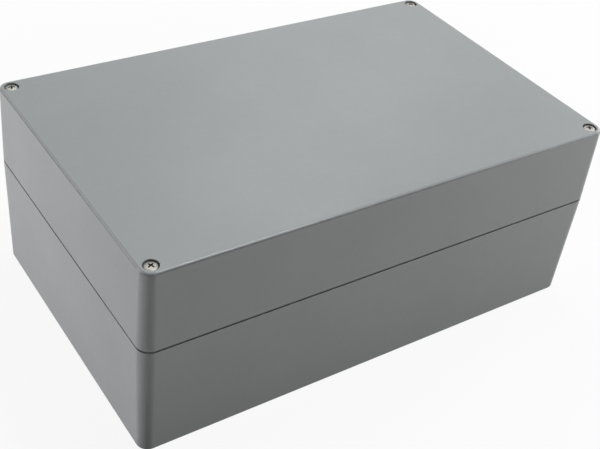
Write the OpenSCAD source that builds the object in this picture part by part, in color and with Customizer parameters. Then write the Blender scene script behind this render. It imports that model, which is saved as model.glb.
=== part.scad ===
// Polyester enclosure: a drafted two-part box with a tongue and groove seal and four captive lid screws.
// Millimetres, +Z up. The origin is the centre of the underside, X runs along the length.

/* [Box] */
// Length along X, measured at the seam
box_l = 400; // [320:5:560]
// Width along Y, measured at the seam
box_w = 250; // [200:5:360]
// Height with the lid on
box_h = 160; // [140:1:220]
// Height of the base up to its rim
base_h = 94.5; // [70:0.5:110]
// Open line seen between the two halves
seam_gap = 0.8; // [0.4:0.1:1.5]
// Radius of the upright corners at the seam
corner_r = 10; // [9:0.5:14]
// How far each lid wall leans in from the seam to the top
lid_lean = 1.2; // [0.4:0.1:2]
// How far each base wall leans in from the seam to the underside
base_lean = 1.2; // [0.4:0.1:2]
// Edge radius round the top of the lid
top_edge_r = 2.2; // [0.5:0.1:2.5]
// Edge radius round the underside of the base
foot_edge_r = 1; // [0.5:0.1:2.5]
// Broken edge of both rims at the seam
rim_edge = 0.4; // [0.2:0.1:0.8]
// Wall thickness at the seam
wall_t = 6.5; // [6:0.1:9]
// Thickness of the base floor
floor_t = 5; // [4:0.1:9]
// Thickness of the lid's top plate
top_t = 5; // [4:0.1:9]
// Radius inside, where the walls meet the floor or the top plate
inner_r = 2.5; // [1:0.1:2.8]

/* [Corner pillars] */
// Lid screw axis to the outer faces
screw_inset = 10; // [9.5:0.5:12]
// Fixing hole axis to the short outer faces
fix_inset_x = 10; // [9:0.5:14]
// Fixing hole axis to the long outer faces
fix_inset_y = 25; // [23:0.5:40]
// Diameter of the fixing holes through the underside
fix_d = 6.5; // [4:0.1:8]
// Diameter of the driver channel above each fixing hole
fix_channel_d = 12; // [10:0.5:14]
// Thickness left under the driver channel
fix_seat_t = 8; // [5:0.5:20]
// Thickness left between the driver channel and the seal groove
pillar_lip = 2; // [1.5:0.1:4]
// Radius of the pillars' inner edges at the seam
pillar_r = 8; // [6:0.1:10]
// Radius of the hollow's upright corners at the seam
cavity_r = 7; // [5:0.1:9]

/* [Seal] */
// Width of the groove in the lid
groove_w = 3.2; // [2.6:0.1:3.6]
// Depth of the groove in the lid
groove_depth = 5; // [4:0.1:8]
// Thickness of the lip between the groove and the hollow
groove_lip = 1.5; // [1:0.1:2]
// Thickness of the gasket in the groove
gasket_t = 2.8; // [1.5:0.1:3.2]
// Width of the tongue on the base
tongue_w = 1.8; // [1.2:0.1:2]

/* [Lid screws] */
// Thread diameter
screw_d = 5; // [4:0.5:6]
// Rise per turn of the thread
screw_pitch = 0.8; // [0.5:0.05:1]
// Turns from tight to free of the insert
screw_turns = 12; // [8:1:14]
// Length of thread that stands above the base rim
thread_over = 0.8; // [0.4:0.1:2]
// Step from the thread down to the neck, on the radius
neck_step = 0.55; // [0.3:0.05:0.8]
// Head diameter
head_d = 9; // [8:0.1:10]
// Head height at its rim
head_h = 3; // [2:0.1:4]
// Height of the dome on the head
head_dome = 0.9; // [0.4:0.1:1]
// Rim of the head below the lid's top face
head_sink = 1.1; // [1:0.1:3]
// Radial room round the head in its counterbore
head_play = 1; // [0.5:0.1:1.5]
// Radial room round the thread in the lid
screw_play = 0.5; // [0.3:0.1:0.8]
// Length of each arm pair of the cross recess
recess_l = 5; // [4:0.1:6]
// Width of the arms of the cross recess
recess_w = 1.2; // [0.8:0.1:1.6]
// Turn of each cross recess on from that of the last screw, since each stops where it is tight
recess_turn = 25; // [0:5:85]
// Depth of the cross recess below the dome's crown
recess_depth = 2.2; // [1.5:0.1:2.6]

/* [Washers and inserts] */
// Outer diameter of the retaining washers
washer_d = 9; // [8:0.1:9.6]
// Thickness of the retaining washers
washer_t = 1; // [0.6:0.1:1.6]
// Radial room round each washer in its pocket in the lid
washer_play = 0.5; // [0.3:0.1:0.8]
// Radial clearance of a turning fit
turn_fit = 0.05; // [0.02:0.01:0.1]
// Wall of the brass inserts
insert_wall = 1.5; // [1:0.1:2]
// Length of the lid inserts below the screw tips
insert_spare = 2.6; // [1:0.1:6]
// Length of the floor inserts
floor_insert_l = 10; // [9:0.5:11]
// Bore of the floor inserts
floor_bore_d = 5; // [3:0.1:6]
// Thickness of the closed end of the floor inserts
floor_insert_end = 2; // [1:0.1:4]
// Width of the locking groove round each insert
lock_w = 2; // [1:0.1:3]
// Depth of the locking groove round each insert
lock_depth = 0.5; // [0.2:0.1:0.7]
// Chamfer at the mouth of each insert
insert_chamfer = 0.4; // [0.2:0.1:0.8]

/* [Floor bosses] */
// Outer bosses to the short outer faces
boss_inset_x = 50; // [40:1:90]
// Rows of bosses to the long outer faces
boss_inset_y = 30; // [22:1:60]
// Wall of each boss round its insert, at the top
boss_wall = 3; // [2:0.1:5]
// Height of the bosses above the floor
boss_h = 8; // [6:0.5:20]
// How much wider each boss is at the floor, on the radius
boss_lean = 0.6; // [0.2:0.1:2]

/* [Hidden] */
$fn = 64;
// Small overlap that lets a cut run past a face
past = 1;

// Heights of the seam and of what meets there
lid_z = base_h + seam_gap;
lid_h = box_h - lid_z;
gasket_z = lid_z + groove_depth - gasket_t;
tongue_h = gasket_z - base_h;

// Length on a fine grid of a millionth of a millimetre, on which sums are exact and levels are the same
function fine(v) = round(v * 1048576) / 1048576;
top_r = fine(top_edge_r);
foot_r = fine(foot_edge_r);
bend_r = fine(inner_r);

// Heights of the upright walls, outside and inside, between the rim and a rounded edge
base_wall_h = fine(base_h) - foot_r;
lid_wall_h = fine(lid_h) - top_r;
base_side_h = fine(base_h - floor_t) - bend_r;
lid_side_h = fine(lid_h - top_t) - bend_r;

// Centres of the corner arcs
arc_x = box_l / 2 - corner_r;
arc_y = box_w / 2 - corner_r;

// Half sizes of the hollow at the seam: its two crossed arms run between the pillars
arm_x = box_l / 2 - wall_t;
arm_y = box_w / 2 - wall_t;
seal_in = pillar_lip + groove_w + groove_lip;
gate_x = box_l / 2 - fix_inset_x - fix_channel_d / 2 - seal_in;
gate_y = box_w / 2 - fix_inset_y - fix_channel_d / 2 - seal_in;

// Radii of the hollow, limited by the room between its wall and a pillar's inner face
bay = min(arm_x - gate_x, arm_y - gate_y);
hollow_r = min(cavity_r, bay / 2);
pillar_edge_r = min(pillar_r, bay - hollow_r);
core_x = gate_x + pillar_edge_r;
core_y = gate_y + pillar_edge_r;

// Places of the lid screws, the fixing holes and the floor bosses
screw_x = box_l / 2 - screw_inset;
screw_y = box_w / 2 - screw_inset;
fix_x = box_l / 2 - fix_inset_x;
fix_y = box_w / 2 - fix_inset_y;
boss_x = box_l / 2 - boss_inset_x;
boss_y = box_w / 2 - boss_inset_y;

// Heights along a lid screw: its thread runs out of the insert just before the last turn ends
head_seat_z = box_h - head_sink - head_h;
screw_rise = screw_turns * screw_pitch;
screw_tip_z = base_h - screw_rise + screw_pitch / 4;
thread_top_z = base_h + thread_over;
washer_pocket_z = thread_top_z + washer_t + screw_rise + screw_pitch / 2;
neck_d = screw_d - 2 * neck_step;

// Brass inserts and the bosses that hold them
lid_bore_d = screw_d + 2 * turn_fit;
lid_insert_l = base_h - screw_tip_z + insert_spare;
boss_top = floor_t + boss_h;
lid_insert_d = lid_bore_d + 2 * insert_wall;
floor_insert_d = floor_bore_d + 2 * insert_wall;
boss_d = floor_insert_d + 2 * boss_wall;

// Copies the child to the four corners at the given half spacings
module four(x, y) {
    for (sx = [-1, 1], sy = [-1, 1])
        translate([sx * x, sy * y, 0])
            children();
}

// Half section from a corner centre out to a wall that leans in from z = 0 up to its rounded edge.
// side_h is the height of the wall below that edge. The rim at z = 0 can have a broken edge.
module half_section(r, side_h, lean, edge_r, rim = 0) {
    centre = [r - lean - edge_r, side_h];
    end = centre + [edge_r, edge_r];
    difference() {
        polygon(concat([[0, 0]], rim > 0 ? [[r - rim, 0], [r, rim]] : [[r, 0]],
            [[end[0], side_h], end, [0, end[1]]]));
        difference() {
            translate(centre)
                square(edge_r + past);
            translate(centre)
                circle(edge_r);
        }
    }
}

// Block of a moulding with its rim at z = 0 and its rounded closed end above side_h:
// revolved corners, straight sides and the middle
module moulding(side_h, lean, edge_r) {
    for (sx = [0, 1], sy = [0, 1])
        mirror([sx, 0, 0])
            mirror([0, sy, 0])
                translate([arc_x, arc_y, 0])
                    rotate_extrude(angle = 90)
                        half_section(corner_r, side_h, lean, edge_r, rim_edge);
    for (side = [0, 180]) {
        rotate(side)
            translate([arc_x, arc_y, 0])
                rotate([90, 0, 0])
                    linear_extrude(2 * arc_y)
                        half_section(corner_r, side_h, lean, edge_r, rim_edge);
        rotate(side)
            translate([-arc_x, arc_y, 0])
                rotate([90, 0, 90])
                    linear_extrude(2 * arc_x)
                        half_section(corner_r, side_h, lean, edge_r, rim_edge);
    }
    translate([-arc_x, -arc_y, 0])
        cube([2 * arc_x, 2 * arc_y, side_h + edge_r]);
}

// Bay of a hollow between two pillars: it runs along X from the given place to its end wall.
// Its middle laps over the sides and over the block that it opens into.
module bay_block(from, half_x, half_y, side_h, lean) {
    run = half_x - hollow_r - from;
    mid = half_y - hollow_r;
    lap = (hollow_r - lean - bend_r) / 3;
    translate([from, 0, 0]) {
        for (sy = [0, 1])
            mirror([0, sy, 0])
                translate([0, mid, 0]) {
                    rotate([90, 0, 90])
                        linear_extrude(run)
                            half_section(hollow_r, side_h, lean, bend_r);
                    translate([run, 0, 0])
                        rotate_extrude(angle = 90)
                            half_section(hollow_r, side_h, lean, bend_r);
                }
        translate([run, mid, 0])
            rotate([90, 0, 0])
                linear_extrude(2 * mid)
                    half_section(hollow_r, side_h, lean, bend_r);
        translate([-lap, -mid - lap, 0])
            cube([run + 2 * lap, 2 * (mid + lap), side_h + bend_r]);
    }
}

// Section of a pillar's round inner edge: it widens towards the closed end and flares out there
module pillar_section(side_h, lean) {
    centre = [pillar_edge_r + lean + bend_r, side_h];
    top = side_h + bend_r;
    difference() {
        polygon([[0, 0], [pillar_edge_r, 0], centre - [bend_r, 0], centre, [centre[0], top], [0, top]]);
        translate(centre)
            circle(bend_r);
    }
}

// Hollow of a moulding from its rim at z = 0 inward:
// a middle block that the pillars' edges round off, and four bays
module hollow(side_h, lean) {
    difference() {
        translate([-core_x, -core_y, 0])
            cube([2 * core_x, 2 * core_y, side_h + bend_r]);
        four(core_x, core_y)
            rotate_extrude()
                pillar_section(side_h, lean);
    }
    for (turn = [0, 180]) {
        rotate(turn)
            bay_block(core_x, arm_x, gate_y, side_h, lean);
        rotate(turn + 90)
            bay_block(core_y, arm_y, gate_x, side_h, lean);
    }
}

// Rectangle with rounded corners
module round_rect(half_x, half_y, r) {
    square([2 * half_x, 2 * (half_y - r)], center = true);
    square([2 * (half_x - r), 2 * half_y], center = true);
    four(half_x - r, half_y - r)
        circle(r);
}

// Outline of the hollow at the seam, grown outward
module hollow_outline(grow) {
    round_rect(arm_x + grow, gate_y + grow, hollow_r + grow);
    round_rect(gate_x + grow, arm_y + grow, hollow_r + grow);
    r = pillar_edge_r - grow;
    for (sx = [0, 1], sy = [0, 1])
        mirror([sx, 0])
            mirror([0, sy])
                translate([gate_x + grow, gate_y + grow])
                    difference() {
                        translate([-r, -r])
                            square(2 * r);
                        translate([r, r])
                            circle(r);
                    }
}

// Closed band of the given width along the middle of the seal groove, from start to h
module seal_band(w, h, start = 0) {
    mid = groove_lip + groove_w / 2;
    translate([0, 0, start])
        linear_extrude(h - start)
            difference() {
                hollow_outline(mid + w / 2);
                hollow_outline(mid - w / 2);
            }
}

// Places of the floor bosses
module at_bosses() {
    for (kx = [-1 : 1], sy = [-1, 1])
        translate([kx * boss_x, sy * boss_y, 0])
            children();
}

// Outside of a moulded-in bush, with a groove that locks it in the moulding
module bush(d, l) {
    cylinder(h = l, d = d - 2 * lock_depth);
    land = (l - lock_w) / 2;
    for (z = [0, l - land])
        translate([0, 0, z])
            cylinder(h = land, d = d);
}

// Bush with a threaded bore of the given depth and a chamfered mouth
module threaded_bush(d, l, bore_d, depth) {
    difference() {
        bush(d, l);
        translate([0, 0, l - depth])
            cylinder(h = depth + past, d = bore_d);
        translate([0, 0, l - insert_chamfer])
            cylinder(h = insert_chamfer, d1 = bore_d, d2 = bore_d + 2 * insert_chamfer);
    }
}

// Floor boss that widens towards its foot, sunk a little into the floor
module boss() {
    foot = boss_d / 2 + boss_lean;
    cylinder(h = boss_h, r1 = foot, r2 = boss_d / 2);
    translate([0, 0, -past])
        cylinder(h = past, r = foot);
}

module base() {
    color([0.60, 0.62, 0.62])
        difference() {
            union() {
                difference() {
                    translate([0, 0, base_h])
                        mirror([0, 0, 1])
                            moulding(base_wall_h, base_lean, foot_r);
                    translate([0, 0, base_h])
                        mirror([0, 0, 1])
                            hollow(base_side_h, base_lean);
                }
                at_bosses()
                    translate([0, 0, floor_t])
                        boss();
                translate([0, 0, base_h])
                    seal_band(tongue_w, tongue_h);
            }
            at_bosses()
                translate([0, 0, boss_top - floor_insert_l])
                    bush(floor_insert_d, floor_insert_l);
            four(screw_x, screw_y)
                translate([0, 0, base_h - lid_insert_l])
                    bush(lid_insert_d, lid_insert_l);
            four(fix_x, fix_y) {
                translate([0, 0, fix_seat_t])
                    cylinder(h = base_h, d = fix_channel_d);
                translate([0, 0, -past])
                    cylinder(h = base_h, d = fix_d);
            }
        }
}

module lid() {
    color([0.62, 0.64, 0.64])
        difference() {
            translate([0, 0, lid_z])
                moulding(lid_wall_h, lid_lean, top_r);
            translate([0, 0, lid_z])
                hollow(lid_side_h, lid_lean);
            translate([0, 0, lid_z])
                seal_band(groove_w, groove_depth, -past);
            four(screw_x, screw_y) {
                translate([0, 0, lid_z - past])
                    cylinder(h = lid_h, d = screw_d + 2 * screw_play);
                translate([0, 0, lid_z - past])
                    cylinder(h = washer_pocket_z - lid_z + past, d = washer_d + 2 * washer_play);
                translate([0, 0, head_seat_z])
                    cylinder(h = box_h, d = head_d + 2 * head_play);
            }
        }
}

module lid_gasket() {
    color([0.12, 0.12, 0.12])
        translate([0, 0, gasket_z])
            seal_band(groove_w, gasket_t);
}

// Long screw with a domed head and a cross recess, at the corner with the given signs and place in the count
module lid_screw(sx, sy, count) {
    dome_r = (pow(head_d / 2, 2) + pow(head_dome, 2)) / (2 * head_dome);
    crown_z = head_seat_z + head_h + head_dome;
    color([0.78, 0.77, 0.74])
        translate([sx * screw_x, sy * screw_y, 0])
            difference() {
                union() {
                    intersection() {
                        translate([0, 0, head_seat_z])
                            cylinder(h = head_h + head_dome, d = head_d);
                        translate([0, 0, crown_z - dome_r])
                            sphere(dome_r);
                    }
                    translate([0, 0, thread_top_z])
                        cylinder(h = head_seat_z - thread_top_z, d = neck_d);
                    translate([0, 0, screw_tip_z + neck_step])
                        cylinder(h = thread_top_z - screw_tip_z - neck_step, d = screw_d);
                    translate([0, 0, screw_tip_z])
                        cylinder(h = neck_step, d1 = neck_d, d2 = screw_d);
                }
                for (turn = [0, 90])
                    translate([0, 0, crown_z - recess_depth / 2 + past / 2])
                        rotate(turn + count * recess_turn)
                            cube([recess_l, recess_w, recess_depth + past], center = true);
            }
}

module lid_screw_front_left() { lid_screw(-1, -1, 1); }
module lid_screw_front_right() { lid_screw(1, -1, 2); }
module lid_screw_back_left() { lid_screw(-1, 1, 3); }
module lid_screw_back_right() { lid_screw(1, 1, 4); }

// Retaining washer that sits on the shoulder of the thread
module screw_washer(sx, sy) {
    color([0.85, 0.84, 0.80])
        translate([sx * screw_x, sy * screw_y, thread_top_z])
            difference() {
                cylinder(h = washer_t, d = washer_d);
                translate([0, 0, -past])
                    cylinder(h = washer_t + 2 * past, d = neck_d + 2 * turn_fit);
            }
}

module screw_washer_front_left() { screw_washer(-1, -1); }
module screw_washer_front_right() { screw_washer(1, -1); }
module screw_washer_back_left() { screw_washer(-1, 1); }
module screw_washer_back_right() { screw_washer(1, 1); }

// Threaded bush in a base pillar, open at both ends
module lid_insert(sx, sy) {
    color([0.78, 0.62, 0.28])
        translate([sx * screw_x, sy * screw_y, base_h - lid_insert_l])
            threaded_bush(lid_insert_d, lid_insert_l, lid_bore_d, lid_insert_l + past);
}

module lid_insert_front_left() { lid_insert(-1, -1); }
module lid_insert_front_right() { lid_insert(1, -1); }
module lid_insert_back_left() { lid_insert(-1, 1); }
module lid_insert_back_right() { lid_insert(1, 1); }

// Blind threaded bush in a floor boss
module floor_insert(kx, sy) {
    color([0.78, 0.62, 0.28])
        translate([kx * boss_x, sy * boss_y, boss_top - floor_insert_l])
            threaded_bush(floor_insert_d, floor_insert_l, floor_bore_d, floor_insert_l - floor_insert_end);
}

module floor_insert_front_left() { floor_insert(-1, -1); }
module floor_insert_front_middle() { floor_insert(0, -1); }
module floor_insert_front_right() { floor_insert(1, -1); }
module floor_insert_back_left() { floor_insert(-1, 1); }
module floor_insert_back_middle() { floor_insert(0, 1); }
module floor_insert_back_right() { floor_insert(1, 1); }

base();
lid();
lid_gasket();
lid_screw_front_left();
lid_screw_front_right();
lid_screw_back_left();
lid_screw_back_right();
screw_washer_front_left();
screw_washer_front_right();
screw_washer_back_left();
screw_washer_back_right();
lid_insert_front_left();
lid_insert_front_right();
lid_insert_back_left();
lid_insert_back_right();
floor_insert_front_left();
floor_insert_front_middle();
floor_insert_front_right();
floor_insert_back_left();
floor_insert_back_middle();
floor_insert_back_right();
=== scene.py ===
# %% [markdown]
# # A sealed polyester enclosure
# The real object is a grey two-part box, moulded in glass-fibre polyester: a deep base and a lid
# that four long captive screws pull down on a gasket. The CAD model already has every solid in its
# place, in metres, so this lesson loads it as a fixed frame and then dresses it.

import bpy
import numpy as np
from mathutils import Matrix, Vector
from mathutils.geometry import delaunay_2d_cdt


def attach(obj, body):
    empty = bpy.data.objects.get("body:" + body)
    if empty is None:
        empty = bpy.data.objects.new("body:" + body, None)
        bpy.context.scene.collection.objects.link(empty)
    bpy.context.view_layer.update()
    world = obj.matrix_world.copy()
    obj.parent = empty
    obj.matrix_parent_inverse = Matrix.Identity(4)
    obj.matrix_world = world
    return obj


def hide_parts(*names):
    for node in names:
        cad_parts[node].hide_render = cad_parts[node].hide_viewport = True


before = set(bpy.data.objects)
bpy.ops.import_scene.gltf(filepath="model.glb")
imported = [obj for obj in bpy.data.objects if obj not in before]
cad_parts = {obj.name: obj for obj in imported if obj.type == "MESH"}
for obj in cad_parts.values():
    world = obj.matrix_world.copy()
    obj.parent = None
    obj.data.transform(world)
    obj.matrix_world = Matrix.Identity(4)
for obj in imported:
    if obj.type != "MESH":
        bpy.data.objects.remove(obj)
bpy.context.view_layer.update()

# %% [markdown]
# ## The camera
# A picture of a box tells where its camera stood: the three families of parallel edges meet at
# three vanishing points. Those gave the turn, the rise, the roll and the focal length used here.
# Moving it by eye or with a tracking add-on would do as well, but numbers are exact, and easy to
# correct.

# %% Camera
TURN, RISE, ROLL = np.radians([-37.392, 37.234, -7.236])
CAMERA_PLACE = (-0.41551, -0.55278, 0.57315)
FOCAL_PIXELS, PICTURE_WIDTH, SENSOR = 1048.03, 600, 36.0


def camera_axes(turn, rise, roll):
    """Columns right, up and back. Back points from the box to the camera at that turn and rise.
    Right is level and up completes the three, and then the roll turns both of them about back."""
    back = np.array([np.sin(turn) * np.cos(rise), -np.cos(turn) * np.cos(rise), np.sin(rise)])
    right = np.cross([0, 0, 1], back)
    right /= np.linalg.norm(right)
    up = np.cross(back, right)
    c, s = np.cos(roll), np.sin(roll)
    return np.stack([c * right - s * up, s * right + c * up, back], 1)


camera = bpy.data.objects.new("camera", bpy.data.cameras.new("camera"))
bpy.context.scene.collection.objects.link(camera)
axes = Matrix(camera_axes(TURN, RISE, ROLL)).to_4x4()
camera.matrix_world = Matrix.Translation(CAMERA_PLACE) @ axes
camera.data.sensor_fit, camera.data.sensor_width = "HORIZONTAL", SENSOR
camera.data.lens = FOCAL_PIXELS * SENSOR / PICTURE_WIDTH
bpy.context.scene.camera = camera
print("lens:", round(camera.data.lens, 2), "mm")

# %% [markdown]
# ## Plain colours, and nodes in short
# Blender starts with a view that bends colours as film does. A grey that has to match a real grey
# needs the Standard view, which shows a colour as it is worked out. The finishes further down are
# graphs of shader nodes. They could be drawn in the shader editor, but then they would be in no
# script, and written out in full each node takes three or four lines. Four helpers make that one.

# %% View and nodes
bpy.context.scene.view_settings.view_transform = "Standard"


def feed(tree, made, inputs):
    """Gives a node its inputs, under their names or numbers: values, or sockets to link from."""
    for key, value in inputs.items():
        if isinstance(value, bpy.types.NodeSocket):
            tree.links.new(value, made.inputs[key])
        else:
            made.inputs[key].default_value = value


def node(tree, kind, inputs=None, **settings):
    """Adds a shader node with these inputs. Settings are the node's own properties."""
    made = tree.nodes.new(kind)
    for key, value in settings.items():
        setattr(made, key, value)
    feed(tree, made, inputs or {})
    return made


def maths(tree, operation, *values):
    """The result of one Math node, such as the larger of two values."""
    return node(tree, "ShaderNodeMath", dict(enumerate(values)), operation=operation).outputs[0]


def ranged(tree, value, span=(0.0, 1.0), ends=(0.0, 1.0)):
    """A value rescaled in proportion, so that the span's two numbers become the two ends. Past the
    span it stays at the nearer end."""
    inputs = dict(enumerate((value, *span, *ends)))
    return node(tree, "ShaderNodeMapRange", inputs).outputs[0]


print("view:", bpy.context.scene.view_settings.view_transform)

# %% [markdown]
# ## The air of a white room
# The box stands in a white room. A white that clips would need far too much light, so the room is
# white only to rays from the camera, and to mirror and glass rays, which lets the steel reflect it.
# All other rays find dim air, and the lamps do the lighting. The Light Path node knows which kind
# of ray asks. A white wall behind the box would be another way, but it would show its edges.

# %% World
AMBIENT, WHITE = 0.025, (1, 1, 1, 1)


def seen_directly(tree):
    """1 for rays from the camera and for mirror and glass rays, 0 for the light that spreads."""
    ray = node(tree, "ShaderNodeLightPath").outputs
    pair = maths(tree, "MAXIMUM", ray["Is Camera Ray"], ray["Is Glossy Ray"])
    return maths(tree, "MAXIMUM", pair, ray["Is Transmission Ray"])


world = bpy.data.worlds.new("white_room")
bpy.context.scene.world = world
world.use_nodes = True
air = world.node_tree
strength = ranged(air, seen_directly(air), ends=(AMBIENT, 1.0))
feed(air, air.nodes["Background"], {"Color": WHITE, "Strength": strength})
print("air:", AMBIENT, "as light, 1.0 where it is seen")

# %% [markdown]
# ## The paper
# The box stands on a wide round sheet of white paper. Under the box the paper is cut out, so that
# the underside can be seen and lit as well. The cut-out is a superellipse, a rectangle with soft
# corners in one formula. A plane with a Boolean hole would also do, but rings of faces that grow
# outward are finest where the shadow falls, and each point can carry its distance from the box.

# %% Paper
FLOOR_RADIUS, FLOOR_RINGS, FLOOR_TURNS = 6.0, 24, 256
CUT_HALF, CUT_POWER = (0.1965, 0.1215), 40


def ring_faces(rows, columns):
    """Quads of a grid of points whose last column joins its first. With the columns anticlockwise,
    they face to the right of the way that the rows run."""
    i, j = np.meshgrid(np.arange(rows - 1) * columns, np.arange(columns), indexing="ij")
    k = (j + 1) % columns
    return np.stack([i + j, i + k, i + columns + k, i + columns + j], -1).reshape(-1, 4)


turns = np.linspace(0, 2 * np.pi, FLOOR_TURNS, endpoint=False)
toward = np.stack([np.cos(turns), np.sin(turns)])
sides = np.abs(toward / np.array(CUT_HALF)[:, None])
cut = (sides ** CUT_POWER).sum(0) ** (-1 / CUT_POWER)
beyond = (FLOOR_RADIUS - cut) * np.linspace(0, 1, FLOOR_RINGS)[:, None] ** 2
plan = (cut + beyond) * toward[:, None]
paper_points = np.stack([*plan, np.zeros_like(beyond)], -1).reshape(-1, 3)
paper_faces = ring_faces(FLOOR_RINGS, FLOOR_TURNS)[:, ::-1]  # turned over, to face up

paper_mesh = bpy.data.meshes.new("paper")
paper_mesh.from_pydata(paper_points.tolist(), [], paper_faces.tolist())
distance = paper_mesh.attributes.new("gap", "FLOAT", "POINT")
distance.data.foreach_set("value", beyond.ravel().astype(np.float32))
paper = bpy.data.objects.new("paper", paper_mesh)
bpy.context.scene.collection.objects.link(paper)
print("paper:", len(paper_mesh.polygons), "faces")

# %% [markdown]
# ## The paper's finish
# Like the air, the paper looks white only where it is seen directly. Close to the box a share of
# that white is an ordinary matt surface, so that the box keeps its shadow. All other rays see dull
# paper with a painted shade on it: close to the box it is painted dark and throws less light back,
# and farther out it throws more, so that the walls darken towards the foot, as they do in the
# photograph. From below, the camera looks through the paper's back. All of this is one material,
# mixed by the kind of ray and by the distance that the points carry, and needs no second floor.

# %% Paper finish
PAPER, MATT_SHARE, MATT_SPAN = (0.9, 0.9, 0.9, 1), 0.1, (0.2, 0.8)
# Close to the box the paper is painted dark for the light that spreads: a painted shade on the
# floor.
PAPER_PAINTED_SHADE, DULL_FAR, PAPER_SHADE_SPAN = (0.1, 0.1, 0.1, 1), (0.85, 0.807, 0.773, 1), (0.05, 0.45)


def colour_between(tree, share, first, second):
    """The first colour where the share is 0, the second where it is 1, and mixed between. A Mix
    node has its two colours at inputs 6 and 7, and the mixed one at output 2."""
    mix = node(tree, "ShaderNodeMix", {0: share, 6: first, 7: second}, data_type="RGBA")
    return mix.outputs[2]


def shader_between(tree, share, first, second):
    """The first shader where the share is 0, the second where it is 1, and mixed between."""
    return node(tree, "ShaderNodeMixShader", {0: share, 1: first, 2: second}).outputs[0]


paper_finish = bpy.data.materials.new("white_paper")
paper_finish.use_nodes = True
sheet = paper_finish.node_tree
sheet.nodes.clear()
gap = node(sheet, "ShaderNodeAttribute", attribute_name="gap").outputs["Fac"]
paper_shade_tint = colour_between(sheet, ranged(sheet, gap, PAPER_SHADE_SPAN), PAPER_PAINTED_SHADE, DULL_FAR)
# Dull paper for the light that spreads, with the painted shade close to the box.
dull = node(sheet, "ShaderNodeBsdfDiffuse", {"Color": paper_shade_tint}).outputs[0]
matt = node(sheet, "ShaderNodeBsdfDiffuse", {"Color": PAPER}).outputs[0]
white = node(sheet, "ShaderNodeEmission", {"Color": WHITE}).outputs[0]
bright = shader_between(sheet, ranged(sheet, gap, MATT_SPAN, (MATT_SHARE, 0.0)), white, matt)
from_above = shader_between(sheet, seen_directly(sheet), dull, bright)
back_side = node(sheet, "ShaderNodeNewGeometry").outputs["Backfacing"]
camera_ray = node(sheet, "ShaderNodeLightPath").outputs["Is Camera Ray"]
clear = node(sheet, "ShaderNodeBsdfTransparent").outputs[0]
one_way = shader_between(sheet, maths(sheet, "MULTIPLY", back_side, camera_ray), from_above, clear)
node(sheet, "ShaderNodeOutputMaterial", {"Surface": one_way})
paper_mesh.materials.append(paper_finish)
print("paper finish:", len(sheet.nodes), "nodes")

# %% [markdown]
# ## The light
# Soft studio light comes from seven lamps. The top and the left end of the box are about equally
# bright and the long front is much darker. Two large lamps behind and to the right light the top,
# and miss the front. A weak one stands where the satin top mirrors it broadly to the camera, as a
# sheen in its middle. Light that falls steeply on a wall would also shine into the seam and wash
# out its dark line, so the left end and the front get low lamps instead. The small edge lamp stands
# where the front top edge mirrors it to the camera: it draws the bright line that shows how round
# the edge is. The last lamp is under the paper and shines through the cut-out alone. Powers suit
# the distances, so that a grey renders about as it is written.

# %% Lamps
LAMPS = (  # name, place, width and height in metres, power in watts, colour
    ("back_lamp", (0.2, 0.9, 2.2), (1.4, 1.4), 16.3, (1.0, 1.0, 1.0)),
    ("right_lamp", (2.4, 0.3, 1.4), (1.2, 1.2), 21.0, (1.0, 1.0, 1.0)),
    ("sheen_lamp", (0.75, 0.95, 1.1), (0.5, 0.5), 1.12, (1.0, 1.0, 1.0)),
    ("edge_lamp", (0.72, -0.5, 2.02), (0.35, 0.35), 15.1, (1.0, 1.0, 1.0)),
    ("left_lamp", (-1.1, 0.45, 0.2), (0.5, 0.25), 5.5, (1.0, 0.965, 1.0)),
    ("end_lamp", (1.15, -0.75, 0.25), (0.5, 0.3), 4.85, (1.0, 0.985, 0.985)),
    ("under_lamp", (0.3, -0.4, -1.2), (0.8, 0.8), 10.0, (1.0, 1.0, 1.0)),
)
AIM = Vector((0, 0, 0.08))

for name, place, (wide, high), power, colour in LAMPS:
    data = bpy.data.lights.new(name, "AREA")
    data.shape, data.size, data.size_y = "RECTANGLE", wide, high
    data.energy, data.color = power, colour
    lamp = bpy.data.objects.new(name, data)
    lamp.location = place
    lamp.rotation_euler = (AIM - lamp.location).to_track_quat("-Z", "Y").to_euler()
    bpy.context.scene.collection.objects.link(lamp)
print("lamps:", len(LAMPS))

# %% [markdown]
# ## Outlines made of corner arcs
# Seen from above, every outline of the box is a chain of corner arcs with straight runs between
# them. A numpy array with one row a corner is enough. To move such an outline out or in, only the
# radii change: a corner that bulges gets a larger radius, and one that bites in gets a smaller one.
# Curve objects can be offset too, but they guess at the corners. All lengths from here on are
# millimetres, until the meshes are made.

# %% Outlines
CORNER_STEPS, CIRCLE_STEPS = 17, 64


def corner_chain(rows, steps=CORNER_STEPS):
    """Rows of centre x, centre y, radius, sense (1 bulges, -1 bites in), first angle and sweep in
    degrees. Gives the centres, the radii, the senses and the unit directions at equal steps of each
    arc."""
    rows = np.array(rows, float)
    angle = np.radians(rows[:, 4:5] + rows[:, 5:6] * np.linspace(0, 1, steps))
    unit = np.stack([np.cos(angle), np.sin(angle)], -1)
    return rows[:, None, :2], rows[:, 2:3], rows[:, 3:4], unit


def circle(x, y):
    """A chain of one full turn about an axis, with no radius of its own: moved out by r it is a
    circle of radius r."""
    return corner_chain([[x, y, 0, 1, 0, 360 - 360 / CIRCLE_STEPS]], CIRCLE_STEPS)


def outline(chain, grow):
    """Points and outward directions of a chain for each amount of grow: point = centre + (radius +
    sense * grow) * direction, and outward = sense * direction."""
    centre, radius, sense, unit = chain
    grow = np.atleast_1d(grow).astype(float)[:, None, None]
    points = centre + (radius + sense * grow)[..., None] * unit
    outward = np.broadcast_to(sense[..., None] * unit, points.shape)
    return points.reshape(len(grow), -1, 2), outward.reshape(len(grow), -1, 2)


print("points:", CORNER_STEPS, "a corner,", CIRCLE_STEPS, "a circle")

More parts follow.
